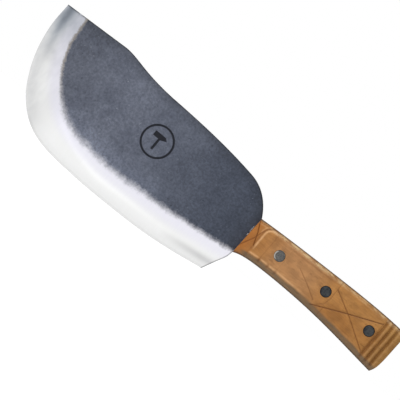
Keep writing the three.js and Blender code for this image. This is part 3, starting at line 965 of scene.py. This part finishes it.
def make_bead(middle, radii):
    """A closed tube along a list of points, as points and faces."""
    points, faces = [], []
    for (x, y, z), radius in zip(middle, radii):
        for k in range(BEAD_STEPS):
            angle = 2 * math.pi * k / BEAD_STEPS
            points.append((x + radius * math.cos(angle), y + radius * math.sin(angle), z))
    for ring in range(len(middle) - 1):
        for k in range(BEAD_STEPS):
            a, b = ring * BEAD_STEPS + k, ring * BEAD_STEPS + (k + 1) % BEAD_STEPS
            faces.append((a, b, b + BEAD_STEPS, a + BEAD_STEPS))
    faces.append(tuple(reversed(range(BEAD_STEPS))))
    faces.append(tuple(range(len(points) - BEAD_STEPS, len(points))))
    return points, faces


def make_glue(place, side, material):
    holes = rivet_holes(BARREL_RADIUS, BARREL_HOLE_STEPS)
    seeds = grid(GLUE_LOW, GLUE_HIGH, GLUE_STEP)
    flat, triangles = triangulate(joined(grip_sides), holes, [], seeds)
    inner, outer = PLATE / 2 + GAP, PLATE / 2 + GAP + GLUE
    low, high = sorted([side * inner, side * outer])
    layer = make_plate(f"{place}_layer", flat, triangles, np.full(len(flat), low), np.full(len(flat), high))
    points = [tuple(v.co) for v in layer.vertices]
    faces = [tuple(p.vertices) for p in layer.polygons]
    bpy.data.meshes.remove(layer)
    for z, half, radius in SQUEEZE[side]:
        along = np.linspace(-1, 1, BEAD_RINGS)
        x = front_x(0.5) - BEAD_AHEAD + 0.12 * np.sin(along * 5 + z)
        middle = [(a, side * (PLATE / 2 + BEAD_LIFT), z + half * b) for a, b in zip(x, along)]
        radii = radius * np.sqrt(1.02 - along**2) * (1 + 0.2 * np.sin(along * 7 + z))
        tube, sides = make_bead(np.array(middle) * MM, radii * MM)
        faces.extend(tuple(i + len(points) for i in face) for face in sides)
        points.extend(tube)
    mesh = make_mesh(f"{place}_glue", points, faces)
    make_object(mesh.name, mesh, material, f"{place}_glue_layer")


# ---- rivets -------------------------------------------------------------------------------------

PROUD = {"front": 0.3, "middle": 0.12, "rear": 0.12}  # how far a barrel's crown stands over the wood
BACK_PROUD = 0.12
DOME_RADIUS, DOME_RINGS = 3.6, 10
RIM_POINTS = [(3.78, 0.08), (HEAD_RADIUS, 0.3)]  # radius and depth of the rounding at a head's rim
SHORT_OF_HEAD = 1  # how far the barrel and the shank stop short of the other head
# The worn rivet also gets the painted highlight on its rim
WORN_AND_HIGHLIT = "front"  # the rivet whose head is worn pale


def lathe(name, profile, x, z):
    """A turned solid round the Y axis at x, z. The profile starts and ends on the axis."""
    angle = np.linspace(0, 2 * math.pi, TURNING_STEPS, endpoint=False)
    points, faces = [(x, profile[0][1], z)], []
    for r, y in profile[1:-1]:
        points.extend(zip(x + r * np.cos(angle), [y] * TURNING_STEPS, z + r * np.sin(angle)))
    points.append((x, profile[-1][1], z))
    rings = len(profile) - 2
    for k in range(TURNING_STEPS):
        a, b = 1 + k, 1 + (k + 1) % TURNING_STEPS
        faces.append((0, a, b))
        for ring in range(rings - 1):
            c, d = a + ring * TURNING_STEPS, b + ring * TURNING_STEPS
            faces.append((c, c + TURNING_STEPS, d + TURNING_STEPS, d))
        last = (rings - 1) * TURNING_STEPS
        faces.append((a + last, len(points) - 1, b + last))
    return make_mesh(name, np.array(points) * MM, faces)


def head_profile(side, crown):
    """The outside of a rivet's head, from its middle to its back."""
    face = FACE - FACE_WEAR
    radii = np.linspace(0, DOME_RADIUS, DOME_RINGS)
    dome = [(r, face + crown * (1 - (r / DOME_RADIUS) ** 2)) for r in radii]
    rim = [(r, face - depth) for r, depth in RIM_POINTS]
    return [(r, side * y) for r, y in [*dome, *rim, (HEAD_RADIUS, FACE - HEAD_DEPTH)]]


def set_wear_and_highlight(mesh, place):
    """How dark the head's ring is, how the chosen rivet's head is worn, and where it gets a painted highlight
    on its rim.
    """
    x, z = RIVETS[place]
    at = np.array([tuple(v.co) for v in mesh.vertices]) / MM
    out = np.hypot(at[:, 0] - x, at[:, 2] - z)
    towards_tip = (x - at[:, 0] + 0.3 * (z - at[:, 2])) / np.maximum(out, TINY)
    in_front = at[:, 1] < HEAD_DEPTH - FACE
    rim_highlight_mask = smoothstep(out, 2.8, 3.3) * smoothstep(towards_tip, 0.4, 0.8) * in_front
    worn_and_highlit = place == WORN_AND_HIGHLIT
    set_values(mesh, "bright", rim_highlight_mask * worn_and_highlit)
    set_values(mesh, "worn", np.full(len(at), 0.8 * worn_and_highlit))
    set_values(mesh, "ring", smoothstep(out, 3.1, 3.7) * (0.2 if worn_and_highlit else 0.9))


def make_rivet(place, material):
    back = FACE - HEAD_DEPTH
    end = back - SHORT_OF_HEAD
    bore = SHANK_RADIUS + CLEARANCE
    tube = [(BARREL_RADIUS, -back), (BARREL_RADIUS, end), (bore, end), (bore, -back), (0, -back)]
    pin = [(SHANK_RADIUS, back), (SHANK_RADIUS, -end), (0, -end)]
    profiles = {
        "barrel": head_profile(FRONT, PROUD[place]) + tube,
        "shank": head_profile(BACK, BACK_PROUD) + pin,
    }
    for part, profile in profiles.items():
        mesh = lathe(f"{place}_{part}", profile, *RIVETS[place])
        if part == "shank":
            mesh.flip_normals()
        set_wear_and_highlight(mesh, place)
        make_object(mesh.name, mesh, material, f"{place}_rivet_{part}", 30)


wood, steel, rivet, glue = carved_wood(), forged_steel(), rivet_steel(), cured_glue()
make_blade(steel)
for place, side in SIDES.items():
    make_scale(place, side, wood)
for place, side in SIDES.items():
    make_glue(place, side, glue)
for place in RIVETS:
    make_rivet(place, rivet)
